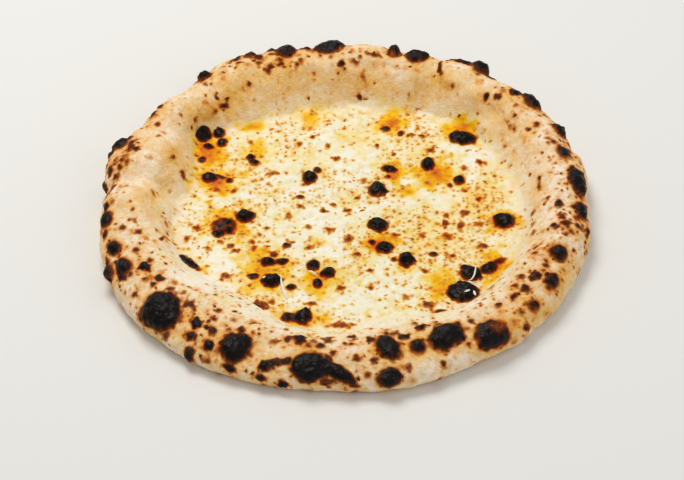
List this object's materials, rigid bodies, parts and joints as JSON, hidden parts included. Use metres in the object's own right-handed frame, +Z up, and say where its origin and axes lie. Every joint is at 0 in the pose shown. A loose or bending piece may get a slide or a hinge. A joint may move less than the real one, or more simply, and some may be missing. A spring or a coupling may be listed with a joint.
{
  "type": "cheese pizza",
  "caption": "Round cheese pizza with a high, puffy, charred rim round a shallow well of melted cheese that is spotted with burnt blisters",
  "frame": {"origin": "middle of the underside, on the surface the pizza lies on", "axes": "+Z is up through the well, -Y is the side nearest the viewer in the picture and +X is the viewer's right"},
  "size_m": [0.314, 0.3122, 0.0369],
  "materials": {
    "baked_dough": "dry baked skin, floury, charred in spots",
    "melted_cheese": "soft sheen, oily in places"
  },
  "bodies": {
    "root": {"crust": "baked_dough", "cheese": "melted_cheese"}
  },
  "joints": []
}
